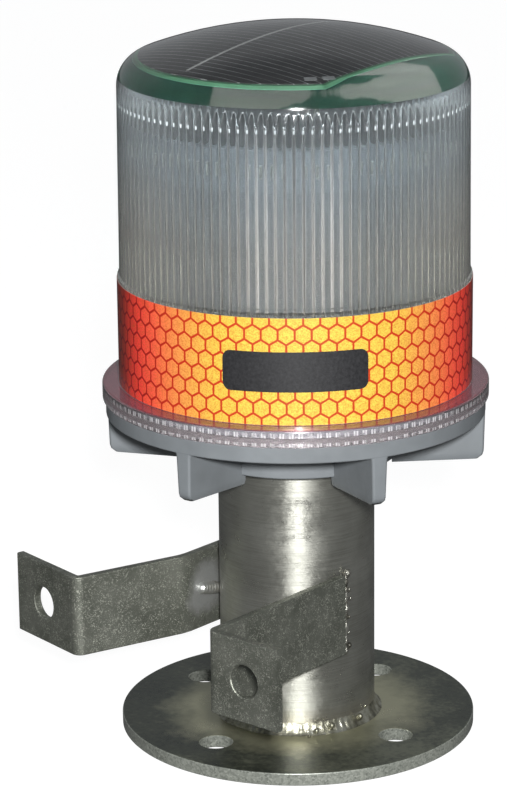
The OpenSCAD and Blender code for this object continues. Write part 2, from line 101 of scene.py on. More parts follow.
# film round the lens's foot, and the label on it
FILM_Z, FILM_TOP, FILM_T = 140.2, 180.2, 0.3
FILM_MID = (FILM_Z + FILM_TOP) / 2
FILM_CELLS, CELL_TALL = 69, 1.04  # cells round the lens, and their height against a true hexagon's
FILM_PAINTED_FLASH_TURN = FRONT + 3.5            # the direction that its painted flash highlight, yellow on the cells, is centred on
LABEL_W, LABEL_H, LABEL_CORNER, LABEL_T = 54, 15, 3, 0.2

# solar panel: a disc cut straight at a distance from the axis and in a direction
PANEL_R, PANEL_CUT, PANEL_CUT_TURN = 58.2, 45.9, 89
PANEL_Z, PANEL_T, WAFER_T, WAFER_EDGE = 260.4, 1.6, 0.35, 1.2
RIBBON_AT, RIBBON_W, RIBBON_T, FINGER_PITCH = -4.4, 1.2, 0.15, 3.4
TAPES = ((10, -25.5, 41, 8, 12), (-30, -34, 8, 4, -20))  # across, away, half sizes and tilt


# ---------- small helpers ----------

def at(turn, r, z):
    """A point at a direction counted from -Y towards +X."""
    a = math.radians(turn - 90)
    return (r * math.cos(a), r * math.sin(a), z)


def arc(cx, cz, r, start, end, steps):
    """Points of an arc in a profile, angles counted from the outward direction."""
    return [(cx + r * math.cos(math.radians(start + (end - start) * i / steps)),
             cz + r * math.sin(math.radians(start + (end - start) * i / steps)))
            for i in range(steps + 1)]


def hash_noise(*p):
    """Smooth noise from -1 to 1 that is the same each run."""
    return noise.noise(Vector(p))


def new_object(name, bm, smooth=35):
    """Turn a bmesh in millimetres into an object in metres, shaded smooth below an angle."""
    bmesh.ops.remove_doubles(bm, verts=bm.verts, dist=1e-4)
    bmesh.ops.dissolve_degenerate(bm, edges=bm.edges, dist=1e-5)
    bmesh.ops.recalc_face_normals(bm, faces=bm.faces)
    bmesh.ops.scale(bm, vec=(MM, MM, MM), verts=bm.verts)
    mesh = bpy.data.meshes.new(name)
    bm.to_mesh(mesh)
    bm.free()
    for poly in mesh.polygons:
        poly.use_smooth = True
    mesh.set_sharp_from_angle(angle=math.radians(smooth))
    obj = bpy.data.objects.new(name, mesh)
    bpy.context.collection.objects.link(obj)
    return obj


def rings(all_rings, wrap=False, caps=False):
    """Quads between successive closed rings; wrap joins the last ring to the first."""
    bm = bmesh.new()
    verts = [[bm.verts.new(p) for p in ring] for ring in all_rings]
    count = len(verts)
    for i in range(count if wrap else count - 1):
        a, b = verts[i], verts[(i + 1) % count]
        for j in range(len(a)):
            k = (j + 1) % len(a)
            bm.faces.new((a[j], a[k], b[k], b[j]))
    if caps:
        bm.faces.new(verts[0])
        bm.faces.new(verts[-1])
    return bm


def lathe(name, profile, steps, smooth=35, closed=True):
    """Revolve (r, z) points about Z; an open profile starts and ends on the axis."""
    columns = [[at(360 * j / steps, r, z) for r, z in profile] for j in range(steps)]
    bm = bmesh.new()
    verts = [[bm.verts.new(p) for p in column] for column in columns]
    last = len(profile) if closed else len(profile) - 1
    for j in range(steps):
        a, b = verts[j], verts[(j + 1) % steps]
        for i in range(last):
            k = (i + 1) % len(profile)
            bm.faces.new((a[i], b[i], b[k], a[k]))
    return new_object(name, bm, smooth)


def fit_out(obj, body, slot, material, *stands_for):
    """Give a piece its body and material, and hide the CAD nodes it stands for; slot is not used."""
    even = obj.modifiers.new("even_shading", "WEIGHTED_NORMAL")
    even.keep_sharp = True
    obj.data.materials.clear()
    obj.data.materials.append(material)
    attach(obj, body)
    if stands_for:
        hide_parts(*stands_for)
    return obj


def apply_boolean(obj, cutter, operation="DIFFERENCE", smooth=35):
    """Apply a boolean with another object, which is then deleted."""
    mod = obj.modifiers.new("cut", "BOOLEAN")
    mod.object, mod.operation, mod.solver = cutter, operation, "EXACT"
    graph = bpy.context.evaluated_depsgraph_get()
    mesh = bpy.data.meshes.new_from_object(obj.evaluated_get(graph))
    obj.modifiers.clear()
    obj.data = mesh
    bpy.data.objects.remove(cutter)
    for poly in mesh.polygons:
        poly.use_smooth = True
    mesh.set_sharp_from_angle(angle=math.radians(smooth))


def move(obj, matrix):
    """Bake a transform in millimetres into a mesh."""
    m = matrix.copy()
    m.translation *= MM
    obj.data.transform(m)
    return obj


def hole_cutter(r, depth, flare, chamfer, steps=48):
    """A round cutter along Z from 0 to depth, chamfered at both faces and carried on past them."""
    past = 2
    wide = r + chamfer
    return lathe("cutter", [
        (0, -past), (wide + past * flare, -past), (wide, 0), (r, chamfer), (r, depth - chamfer),
        (wide, depth), (wide + past * flare, depth + past), (0, depth + past)], steps, closed=False)


# ---------- material helpers ----------

def add_node(tree, kind, **settings):
    """A shader node with some of its settings."""
    made = tree.nodes.new("ShaderNode" + kind)
    for key, value in settings.items():
        setattr(made, key, value)
    return made


class Shader:
    """A node material under construction."""

    def __init__(self, name):
        self.material = bpy.data.materials.new(name)
        self.material.use_nodes = True
        self.tree = self.material.node_tree
        self.tree.nodes.clear()
        self.out = self.node("OutputMaterial")
        self.bsdf = self.node("BsdfPrincipled")
        self.link(self.bsdf.outputs["BSDF"], self.out.inputs["Surface"])
        self.place = self.node("TexCoord").outputs["Object"]

    def node(self, kind, **settings):
        return add_node(self.tree, kind, **settings)

    def link(self, source, target):
        self.tree.links.new(source, target)

    def feed(self, socket, value):
        """Link another node's output to a socket, or set a plain value on it."""
        if hasattr(value, "is_output"):
            self.link(value, socket)
        else:
            socket.default_value = value

    def math(self, operation, a, b=0.0, c=0.0):
        n = self.node("Math", operation=operation)
        for socket, value in zip(n.inputs, (a, b, c)):
            self.feed(socket, value)
        return n.outputs[0]

    def vector(self, operation, a, b=(0, 0, 0)):
        n = self.node("VectorMath", operation=operation)
        self.feed(n.inputs[0], a)
        self.feed(n.inputs[1], b)
        return n.outputs["Value"] if operation in ("LENGTH", "DOT_PRODUCT") else n.outputs[0]

    def stretched(self, scale):
        return self.vector("MULTIPLY", self.place, scale)

    def noise(self, scale, detail=3.0, rough=0.6, where=None):
        """Noise of about scale cells per metre."""
        n = self.node("TexNoise")
        self.feed(n.inputs["Vector"], where or self.place)
        n.inputs["Scale"].default_value = scale
        n.inputs["Detail"].default_value = detail
        n.inputs["Roughness"].default_value = rough
        return n.outputs["Fac"]

    def spangle(self, scale):
        """A different grey in each of about scale cells per metre."""
        n = self.node("TexVoronoi")
        self.link(self.place, n.inputs["Vector"])
        n.inputs["Scale"].default_value = scale
        return self.vector("DOT_PRODUCT", n.outputs["Color"], (0.5, 0.5, 0))

    def ramp(self, factor, *stops):
        """Colours or greys at positions from 0 to 1."""
        n = self.node("ValToRGB")
        self.feed(n.inputs["Fac"], factor)
        elements = n.color_ramp.elements
        while len(elements) > 1:
            elements.remove(elements[-1])
        for i, (position, value) in enumerate(stops):
            e = elements[0] if i == 0 else elements.new(position)
            e.position = position
            e.color = (value, value, value, 1) if isinstance(value, float) else (*value, 1)
        return n.outputs["Color"]

    def span(self, value, low, high, out_low=0.0, out_high=1.0):
        """Map a number range, clamped."""
        n = self.node("MapRange")
        for socket, v in zip(n.inputs, (value, low, high, out_low, out_high)):
            self.feed(socket, v)
        return n.outputs["Result"]

    def mix(self, factor, a, b):
        n = self.node("Mix", data_type="RGBA")
        self.feed(n.inputs["Factor"], factor)
        self.feed(n.inputs["A"], (*a, 1) if isinstance(a, tuple) else a)
        self.feed(n.inputs["B"], (*b, 1) if isinstance(b, tuple) else b)
        return n.outputs["Result"]

    def radius(self):
        """Distance from the Z axis in metres."""
        return self.vector("LENGTH", self.stretched((1, 1, 0)))

    def xyz(self):
        n = self.node("SeparateXYZ")
        self.link(self.place, n.inputs[0])
        return n.outputs

    def turned(self, degrees, x, y):
        """Two coordinates along axes turned from those of x and y."""
        c, n = math.cos(math.radians(degrees)), math.sin(math.radians(degrees))
        return (self.math("ADD", self.math("MULTIPLY", x, c), self.math("MULTIPLY", y, n)),
                self.math("SUBTRACT", self.math("MULTIPLY", y, c), self.math("MULTIPLY", x, n)))

    def set(self, **values):
        """Set Principled inputs, with underscores for spaces."""
        for key, value in values.items():
            self.feed(self.bsdf.inputs[key.replace("_", " ")],
                      (*value, 1) if isinstance(value, tuple) and len(value) == 3 else value)

    def bump(self, height, depth, strength):
        """Relief up to depth millimetres deep."""
        n = self.node("Bump")
        n.inputs["Strength"].default_value = strength
        n.inputs["Distance"].default_value = depth * MM
        self.link(height, n.inputs["Height"])
        self.link(n.outputs[0], self.bsdf.inputs["Normal"])

    def lamps_through(self, tint):
        """Let lamps shine through a clear piece to what is behind it."""
        clear = self.node("BsdfTransparent")
        clear.inputs["Color"].default_value = (*tint, 1)
        path = self.node("LightPath")
        mix = self.node("MixShader")
        self.link(path.outputs["Is Shadow Ray"], mix.inputs[0])
        self.link(self.bsdf.outputs[0], mix.inputs[1])
        self.link(clear.outputs[0], mix.inputs[2])
        self.link(mix.outputs[0], self.out.inputs["Surface"])


# ---------- materials ----------

def speckled_steel():
    """Pickled steel bar: olive grey, a pale spangle, darker clouds, and a greyer patch at the tack."""
    s = Shader("strap_steel")
    spangle = s.spangle(2900)
    base = s.ramp(s.noise(55, 5, 0.6), (0.3, (0.105, 0.112, 0.092)), (0.7, (0.20, 0.208, 0.178)))
    speck = s.math("MULTIPLY", s.span(spangle, 0.60, 0.80), s.span(s.noise(300, 3), 0.35, 0.6))
    mottled = s.mix(s.math("MULTIPLY", speck, 0.6), base, (0.56, 0.57, 0.49))
    tack = tuple(c * MM for c in HEATED_AT)
    from_tack = s.vector("LENGTH", s.vector("SUBTRACT", s.place, tack))
    ragged = s.math("MULTIPLY_ADD", s.noise(90, 4), 12 * MM, from_tack)
    heated = s.span(ragged, 18.5 * MM, 13.5 * MM)
    s.set(Base_Color=s.mix(heated, mottled, (0.35, 0.355, 0.345)),
          Metallic=0.72, Roughness=s.span(spangle, 0.1, 0.9, 0.40, 0.58))
    s.bump(s.math("ADD", spangle, s.noise(2500, 2)), 0.06, 0.8)
    return s.material


def brushed_tube():
    """Pipe polished round its girth, with fine lines, duller patches and a warm tint at the weld."""
    s = Shader("brushed_tube")
    lines = s.noise(1, 5, 0.65, s.stretched((60, 60, 2600)))
    fine = s.noise(1, 3, 0.7, s.stretched((240, 240, 9000)))
    cloud = s.noise(38, 4, 0.6)
    tone = s.math("ADD", s.math("MULTIPLY", lines, 0.5), s.math("MULTIPLY", cloud, 0.5))
    heat = s.span(s.xyz()["Z"], 4 * MM, 16 * MM, 0.55, 0.0)
    steel = s.ramp(tone, (0.3, (0.20, 0.20, 0.175)), (0.5, (0.33, 0.33, 0.295)),
                   (0.72, (0.45, 0.45, 0.41)))
    s.set(Base_Color=s.mix(heat, steel, (0.24, 0.19, 0.12)), Metallic=0.87,
          Roughness=s.span(s.noise(80, 5, 0.75), 0.38, 0.62, 0.27, 0.55), Anisotropic=0.8,
          Anisotropic_Rotation=0.25)
    tangent = s.node("Tangent", direction_type="RADIAL", axis="Z")
    s.link(tangent.outputs[0], s.bsdf.inputs["Tangent"])
    s.bump(s.math("ADD", s.math("MULTIPLY", fine, 0.5), lines), 0.08, 0.7)
    return s.material


def plate_steel():
    """Dark rolled plate: mottled scale, a warm pale pool round the post that is a painted reflection of
    the post's highlight, and a paler edge and hole walls.
    """
    s = Shader("plate_steel")
    cloud = s.noise(24, 5, 0.65)
    fine = s.noise(420, 4, 0.7)
    tone = s.math("ADD", s.math("MULTIPLY", cloud, 0.65), s.math("MULTIPLY", fine, 0.35))
    top = s.ramp(tone, (0.36, (0.030, 0.036, 0.030)), (0.5, (0.070, 0.078, 0.060)),
                 (0.62, (0.17, 0.18, 0.135)))
    grain = s.math("ADD", s.math("MULTIPLY", s.spangle(1500), 0.6), s.math("MULTIPLY", cloud, 0.4))
    cut = s.ramp(grain, (0.25, (0.15, 0.16, 0.14)), (0.75, (0.32, 0.335, 0.295)))
    rim = s.span(s.radius(), (PLATE_R - 0.45) * MM, (PLATE_R - 0.15) * MM)
    x, y, z = s.xyz()
    x, y = s.math("ABSOLUTE", x), s.math("ABSOLUTE", y)
    along = s.math("SUBTRACT", s.math("MAXIMUM", x, y), BOLT_CIRCLE_R * MM)
    reach = s.math("SQRT", s.math("ADD", s.math("MULTIPLY", along, along),
                                  s.math("POWER", s.math("MINIMUM", x, y), 2.0)))
    hole = s.span(reach, (HOLE_R + 0.35) * MM, (HOLE_R + 0.15) * MM)
    bare = s.math("MAXIMUM", rim, hole)
    # painted reflection: the top is lightened and warmed round the post for the post's highlight
    # reflected in it
    post_reflection_reach = s.math("MULTIPLY_ADD", s.noise(45, 5, 0.65), 35 * MM, s.radius())
    top = s.mix(s.span(post_reflection_reach, 72 * MM, 55 * MM, 0.0, 0.8), top, (0.46, 0.45, 0.31))
    s.set(Base_Color=s.mix(bare, top, cut),
          Metallic=s.math("SUBTRACT", 0.72, s.math("MULTIPLY", bare, 0.35)),
          Roughness=s.span(tone, 0.35, 0.65, 0.24, 0.40))
    s.bump(s.math("ADD", fine, cloud), 0.12, 0.5)
    return s.material


def weld_metal(name, low, middle, high, rough, pits):
    """Laid weld metal in three clouded tones, duller where it is darker; pits is their depth."""
    s = Shader(name)
    cloud = s.noise(160, 4, 0.6)
    s.set(Base_Color=s.ramp(cloud, (0.3, low), (0.48, middle), (0.7, high)), Metallic=0.85,
          Roughness=s.span(cloud, 0.3, 0.7, rough + 0.22, rough))
    s.bump(s.noise(700, 3), pits, 0.6)
    return s.material


def moulded(name, colour, rough=0.45, vary=0.12):
    """Moulded plastic with slight flow marks and a fine texture."""
    s = Shader(name)
    low = tuple(c * (1 - vary) for c in colour)
    high = tuple(min(1.0, c * (1 + vary)) for c in colour)
    s.set(Base_Color=s.ramp(s.noise(45, 3), (0.3, low), (0.7, high)),
          Roughness=s.span(s.noise(300, 3), 0.3, 0.7, rough - 0.06, rough + 0.08))
    s.bump(s.noise(1400, 2), 0.03, 0.7)
    return s.material


def plain_metal(name, colour, rough=0.3):
    """Small turned or stamped metal parts."""
    s = Shader(name)
    fine = s.noise(700, 3)
    low = tuple(c * 0.75 for c in colour)
    s.set(Base_Color=s.ramp(fine, (0.3, low), (0.7, colour)), Metallic=1.0,
          Roughness=s.span(fine, 0.3, 0.7, rough, rough + 0.15))
    s.bump(s.noise(1600, 2), 0.03, 0.5)
    return s.material


def rib_marks(s, turn, up):
    """Haze of the ribs: a painted glint along each arch's rim, a painted glint dot between two of them,
    streaks below.
    """
    rib = s.math("MULTIPLY_ADD", s.math("FRACT", s.math("MULTIPLY", turn, FLUTES)), 2.0, -1.0)
    off = s.math("ABSOLUTE", rib)
    arch = s.math("SUBTRACT", 1.0, s.math("MULTIPLY", rib, rib))
    arch_z = s.math("MULTIPLY_ADD", arch, (ARCH_TOP_Z - ARCH_FOOT_Z) * MM, ARCH_FOOT_Z * MM)
    # painted glints: a pale line along each arch's rim and a pale dot at the arch feet
    rim = s.math("COMPARE", up, arch_z, RIM_HALF * MM)
    dot = s.math("MULTIPLY", s.math("COMPARE", up, ARCH_FOOT_Z * MM, DOT_HALF * MM),
                 s.math("GREATER_THAN", off, DOT_FROM))
    streak = s.math("MULTIPLY", s.math("COMPARE", off, STREAK_AT, STREAK_HALF),
                    s.math("LESS_THAN", up, arch_z))
    marks = 0.0
    for mark, haze in ((streak, STREAK_HAZE), (rim, RIM_PAINTED_GLINT), (dot, DOT_PAINTED_GLINT)):
        marks = s.math("MULTIPLY_ADD", mark, haze, marks)
    inside = s.math("LESS_THAN", s.radius(), (WALL_TOP_R - 1) * MM)
    return s.math("MULTIPLY", marks, inside)


def flange_ticks(s, turn, up):
    """Two rows of short upright ticks of painted glint, each with a fainter middle, on the flange's
    edge.
    """
    across = s.math("FRACT", s.math("MULTIPLY", turn, TICKS))
    gap = s.math("COMPARE", across, 0.5, TICK_GAP_HALF)
    tick = s.math("MULTIPLY", s.math("COMPARE", across, 0.5, TICK_HALF),
                  s.math("SUBTRACT", 1.0, s.math("MULTIPLY", gap, 0.7)))
    rows = s.math("MAXIMUM", *(s.math("COMPARE", up, z * MM, half * MM) for z, half in TICK_ROWS))
    edge = s.math("GREATER_THAN", s.radius(), (FLANGE_R - 0.4) * MM)
    return s.math("MULTIPLY", s.math("MULTIPLY", tick, edge), rows)


def lens_clear():
    """Clear acrylic: haze on the ribbed wall, painted glints on its ribs and the flange's ticks, more
    haze towards the sides as painted side light, a painted reflection of the film on the flange's top,
    a warmer lower wall as painted light, and a pinker foot flange.
    """
    s = Shader("lens_clear")
    x, y, up = s.xyz()
    start = 2 + (90 - FRONT) / 360                # counts the turns from FRONT, and keeps them positive
    turn = s.math("ADD", s.math("MULTIPLY", s.math("ARCTAN2", y, x), 1 / TAU), start)
    # painted light: more haze towards the wall's sides, away from the front, brightens them as if lit
    # from the sides
    facing = s.math("COSINE", s.math("MULTIPLY", turn, TAU))
    painted_side_light = s.span(facing, 0.9, 0.2, SIDE_LIGHT_HAZE_FRONT, SIDE_LIGHT_HAZE_SIDE)
    wall = s.math("MULTIPLY", s.span(up, RESIN_Z * MM, (RESIN_Z - 0.5) * MM),
                  s.math("ADD", rib_marks(s, turn, up), painted_side_light))

    flange = s.span(up, (FLANGE_TOP + 0.6) * MM, (FLANGE_TOP + 0.2) * MM)
    top = s.math("MULTIPLY", flange, s.span(up, (FLANGE_TOP - 0.5) * MM, (FLANGE_TOP - 0.2) * MM))
    tick = flange_ticks(s, turn, up)
    # the ticks' painted glints vary in strength at random
    tick_glint_strength = s.span(s.noise(260, 2), 0.3, 0.6, TICK_PAINTED_GLINT_FAINT, TICK_PAINTED_GLINT)
    flange_haze = s.math("ADD", s.math("MULTIPLY", tick, tick_glint_strength),
                         s.span(top, 0.0, 1.0, FLANGE_HAZE, TOP_PAINTED_REFLECTION))
    haze = s.math("MAXIMUM", wall, s.math("MULTIPLY", flange, flange_haze))
    # the top's red is a painted reflection of the film, and the ticks' pale colour their painted glint
    pink = s.mix(tick, s.mix(top, (0.66, 0.60, 0.62), (0.42, 0.12, 0.16)), (0.85, 0.82, 0.83))
    # painted light: the lower wall is tinted warm for the warm caustics on it
    wall_tint = s.mix(s.span(up, WARM_Z * MM, COOL_Z * MM), (0.99, 0.965, 0.915), (0.935, 0.98, 1.0))
    s.set(Base_Color=s.mix(flange, wall_tint, pink), IOR=1.49,
          Transmission_Weight=s.math("SUBTRACT", 1.0, haze),
          Roughness=s.math("ADD", s.span(s.noise(130, 4), 0.55, 0.8, 0.0, 0.03),
                           s.math("MULTIPLY", flange, 0.10)),
          Coat_Weight=0.35, Coat_Roughness=0.12)
    s.lamps_through((0.93, 0.95, 0.95))
    return s.material


def hexagon_rim(s, place):
    """How far a place is from the middle of its hexagonal cell: 0.5 on the cell's border."""
    step = (1, math.sqrt(3), 1)
    half = (0.5, math.sqrt(3) / 2, 0)
    keep_positive = 200

    def from_middle(shift):
        moved = s.vector("ADD", place, tuple(h + keep_positive * t for h, t in zip(shift, step)))
        wrapped = s.vector("MODULO", moved, step)
        return s.vector("MULTIPLY", s.vector("SUBTRACT", wrapped, half), (1, 1, 0))

    first, second = from_middle((0, 0, 0)), from_middle(half)
    pick = s.node("Mix", data_type="VECTOR")
    vector_a, vector_b, vector_out = pick.inputs[4], pick.inputs[5], pick.outputs[1]
    s.link(s.math("LESS_THAN", s.vector("LENGTH", first), s.vector("LENGTH", second)),
           pick.inputs["Factor"])
    s.link(second, vector_a)
    s.link(first, vector_b)
    cell = s.vector("ABSOLUTE", vector_out)
    return s.math("MAXIMUM", s.vector("DOT_PRODUCT", cell, (1, 0, 0)),
                  s.vector("DOT_PRODUCT", cell, half))


def honeycomb_film():
    """Prismatic film: cells between red lines, painted by direction: a painted flash highlight turns
    the cells yellow at the front, painted shade deepens cells and lines to crimson at the sides, orange
    towards the back.
    """
    s = Shader("honeycomb_film")
    pitch = TAU * (FOOT_R + FILM_T) * MM / FILM_CELLS
    x, y, z = s.xyz()
    side, over = s.turned(FILM_PAINTED_FLASH_TURN - 90, x, y)
    turn = s.math("ARCTAN2", over, side)
    place = s.node("CombineXYZ")
    s.link(s.math("MULTIPLY", turn, FILM_CELLS / TAU), place.inputs[0])
    s.link(s.math("MULTIPLY", s.math("SUBTRACT", z, FILM_MID * MM), 1 / (pitch * CELL_TALL)),
           place.inputs[1])
    line = s.span(hexagon_rim(s, s.vector("ADD", place.outputs[0], (0.2, 1.3, 0))), 0.415, 0.455)

    # painted light: the colours below follow the direction from the front, yellow where the flash's
    # highlight is painted, crimson where shade is painted
    away = s.math("MULTIPLY", s.math("ABSOLUTE", turn), 1 / math.pi)
    fill = s.ramp(away, (0.0, (0.62, 0.50, 0.075)), (0.16, (0.66, 0.46, 0.065)),
                  (0.24, (0.78, 0.27, 0.070)), (0.30, (0.94, 0.11, 0.060)),
                  (0.35, (0.98, 0.050, 0.045)), (0.385, (0.74, 0.030, 0.032)),
                  (0.42, (0.36, 0.016, 0.020)), (0.50, (0.30, 0.012, 0.014)),
                  (0.60, (0.62, 0.09, 0.03)), (1.0, (0.75, 0.30, 0.05)))
    border = s.ramp(away, (0.0, (0.38, 0.045, 0.008)), (0.25, (0.42, 0.018, 0.008)),
                    (0.36, (0.30, 0.008, 0.008)), (0.45, (0.14, 0.006, 0.010)),
                    (1.0, (0.36, 0.02, 0.01)))
    fill = s.mix(s.span(s.spangle(2600), 0.2, 0.8, 0.55, 0.0), fill, (0.36, 0.08, 0.01))
    inner = s.math("LESS_THAN", s.radius(), (FOOT_R + FILM_T / 2) * MM)
    s.set(Base_Color=s.mix(inner, s.mix(line, fill, border), (0.30, 0.30, 0.27)), Roughness=0.35,
          Specular_IOR_Level=0.3, Coat_Weight=0.2, Coat_Roughness=0.08)
    s.bump(s.math("SUBTRACT", 1.0, line), 0.05, 0.5)
    return s.material


def black_film():
    """The plain dark label, faintly mottled."""
    s = Shader("black_film")
    s.set(Base_Color=s.ramp(s.noise(900, 4, 0.7), (0.35, (0.006, 0.006, 0.007)),
                            (0.7, (0.022, 0.022, 0.024))), Roughness=0.42)
    s.bump(s.noise(1500, 2), 0.02, 0.5)
    return s.material


def wafer_face():
    """Dark solar cell with fine contact fingers square to the busbar."""
    s = Shader("wafer_face")
    x, y, z = s.xyz()
    along = s.turned(PANEL_CUT_TURN - 90, x, y)[1]
    period = s.math("FRACT", s.math("MULTIPLY", s.math("ADD", along, 1.0), 1 / (FINGER_PITCH * MM)))
    finger = s.math("LESS_THAN", s.math("ABSOLUTE", s.math("SUBTRACT", period, 0.5)), 0.05)
    patchy = s.span(s.noise(90, 3), 0.35, 0.65, 0.25, 1.0)
    body = s.ramp(s.noise(220, 4), (0.3, (0.010, 0.009, 0.009)), (0.7, (0.024, 0.023, 0.023)))
    s.set(Base_Color=s.mix(s.math("MULTIPLY", finger, patchy), body, (0.24, 0.24, 0.245)),
          Roughness=0.4)
    s.bump(finger, 0.03, 0.6)
    return s.material


def panel_back(colour):
    """Green board; its underside is dark, with paler taped patches towards the front."""
    s = Shader("panel_green")
    x, y, z = s.xyz()
    across, away = s.turned(FRONT, x, y)
    ragged = s.math("MULTIPLY", s.math("SUBTRACT", s.noise(110, 4), 0.5), 0.9)
    masks = []
    for cx, cy, half_w, half_h, tilt in TAPES:
        u, v = s.turned(tilt, s.math("SUBTRACT", across, cx * MM), s.math("SUBTRACT", away, cy * MM))
        p, q = s.math("DIVIDE", u, half_w * MM), s.math("DIVIDE", v, half_h * MM)
        d = s.math("ADD", s.math("MULTIPLY", p, p), s.math("MULTIPLY", q, q))
        masks.append(s.span(s.math("ADD", d, ragged), 1.05, 0.95))
    tape = s.math("MAXIMUM", *masks)
    below = s.span(z, (PANEL_Z + 0.2) * MM, (PANEL_Z + 0.1) * MM)
    weave = s.ramp(s.noise(300, 4), (0.3, (0.05, 0.15, 0.105)), (0.7, (0.075, 0.24, 0.165)))
    under = s.mix(tape, weave, (0.58, 0.62, 0.55))
    s.set(Base_Color=s.mix(below, colour, under), Roughness=0.45)
    s.bump(s.noise(900, 2), 0.03, 0.5)
    return s.material


def circuit_board(name, colour):
    """Green board with a faint woven look and darker copper areas under the mask."""
    s = Shader(name)
    weave = s.noise(1, 2, 0.5, s.stretched((900, 900, 200)))
    copper = s.span(s.noise(70, 1), 0.5, 0.53)
    dark = tuple(c * 0.6 for c in colour)
    woven = s.ramp(weave, (0.3, dark), (0.7, colour))
    s.set(Base_Color=s.mix(s.math("MULTIPLY", copper, 0.5), woven, dark), Roughness=0.32,
          Coat_Weight=0.3)
    s.bump(weave, 0.03, 0.5)
    return s.material


# ---------- pieces of the post ----------

def base_plate(material):
    chamfer, round_r = 0.3, 0.5
    plate = lathe("plate", [(0, 0), (PLATE_R - chamfer, 0), (PLATE_R, chamfer)]
                  + arc(PLATE_R - round_r, PLATE_T - round_r, round_r, 0, 90, 4)
                  + [(0, PLATE_T)], 256, closed=False)
    for turn in (0, 90, 180, 270):
        cutter = hole_cutter(HOLE_R, PLATE_T, 1, 0.4)
        apply_boolean(plate, move(cutter, Matrix.Translation(at(turn, BOLT_CIRCLE_R, 0))))
    fit_out(plate, "post", "plate_steel", material, "base_plate")


def bar_path(start, heading, steps):
    """Samples (x, y, heading) along a bent bar's middle line; steps are (run, bend, radius)."""
    x, y = start
    out = [(x, y, heading)]
    for run, bend, radius in steps:
        x += run * math.cos(math.radians(heading))
        y += run * math.sin(math.radians(heading))
        out.append((x, y, heading))
        n = max(1, math.ceil(abs(bend) / (BEND_STEP if radius < KINK_R else KINK_STEP)))
        reach = math.copysign(radius, bend)
        for _ in range(n if bend else 0):
            cx = x - reach * math.sin(math.radians(heading))
            cy = y + reach * math.cos(math.radians(heading))
            heading += bend / n
            x = cx + reach * math.sin(math.radians(heading))
            y = cy - reach * math.cos(math.radians(heading))
            out.append((x, y, heading))
    return out


def bar_section():
    """Rounded cross-section of the flat bar: (offset from the middle, height)."""
    edge_r, corner_steps = 0.45, 3
    half, points = STRAP_T / 2 - edge_r, []
    for cx, cz, start in ((half, STRAP_W - edge_r, 0), (-half, STRAP_W - edge_r, 90),
                          (-half, edge_r, 180), (half, edge_r, 270)):
        points += arc(cx, cz, edge_r, start, start + 90, corner_steps)
    return points


def strap(name, path, hole_at, hole_heading, material, node):
    """A flat bar along a path, with a bolt hole through its flange."""
    bars = [[(x - d * math.sin(math.radians(h)), y + d * math.cos(math.radians(h)), STRAP_Z + z)
             for d, z in bar_section()] for x, y, h in path]
    obj = new_object(name, rings(bars, caps=True), 40)
    cutter = hole_cutter(HOLE_R, STRAP_T, 1, 0.35)
    place = (Matrix.Translation((*hole_at, STRAP_MID))
             @ Matrix.Rotation(math.radians(hole_heading), 4, "Z")
             @ Matrix.Rotation(math.pi / 2, 4, "X") @ Matrix.Translation((0, 0, -STRAP_T / 2)))
    apply_boolean(obj, move(cutter, place), smooth=40)
    fit_out(obj, "post", "strap_steel", material, node)


def straps(material):
    path = bar_path(RIGHT_START, -90, ((RIGHT_ARM, 90, BEND_MID_R), (RIGHT_FLANGE, 0, 0)))
    strap("right_bracket", path, RIGHT_HOLE, 0, material, "right_strap")
    flange = 180 - LEFT_TILT
    back = flange - (270 - LEFT_SPLAY)
    cut_kink = KINK_R * math.tan(math.radians(LEFT_SPLAY / 2))
    cut_back = BEND_MID_R * math.tan(math.radians(abs(back) / 2))
    path = bar_path(LEFT_START, -90, (
        (LEFT_LEAD - cut_kink, -LEFT_SPLAY, KINK_R),
        (LEFT_ARM - cut_kink - cut_back, back, BEND_MID_R),
        (LEFT_FLANGE - cut_back - STRAP_T / 2, 0, 0)))
    strap("left_bracket", path, LEFT_HOLE, flange, material, "left_strap")


def foot_weld(material):
    """A smooth hollow fillet round the post's foot, faintly rippled."""
    columns, across, pitch, sink, hollow = 480, 12, 2.7, 0.15, 1.35
    all_rings = []
    for j in range(columns):
        turn = 360 * j / columns
        c, n = math.cos(math.radians(turn)), math.sin(math.radians(turn))
        out = FOOT_OUT * (0.84 + 0.16 * hash_noise(2.6 * c, 2.6 * n, 4.2))
        up = FOOT_UP * (0.86 + 0.14 * hash_noise(2.2 * c, 2.2 * n, 9.1))
        wave = TAU * math.radians(turn) * POST_R / pitch
        depth = 0.08 + 0.12 * hash_noise(5 * c, 5 * n, 1.4)
        ring = [at(turn, POST_R - 4 * sink, PLATE_T - 0.4)]
        for i in range(across + 1):
            t = i / across
            push = depth * math.sin(math.pi * t) * math.sin(wave + 3 * (t - 0.5) ** 2)
            ring.append(at(turn, POST_R - sink + out * (1 - t) ** hollow + push,
                           PLATE_T - sink + up * t ** hollow + push))
        all_rings.append(ring)
    obj = new_object("foot_bead", rings(all_rings, wrap=True), 60)
    fit_out(obj, "post", "weld_metal", material, "base_weld")


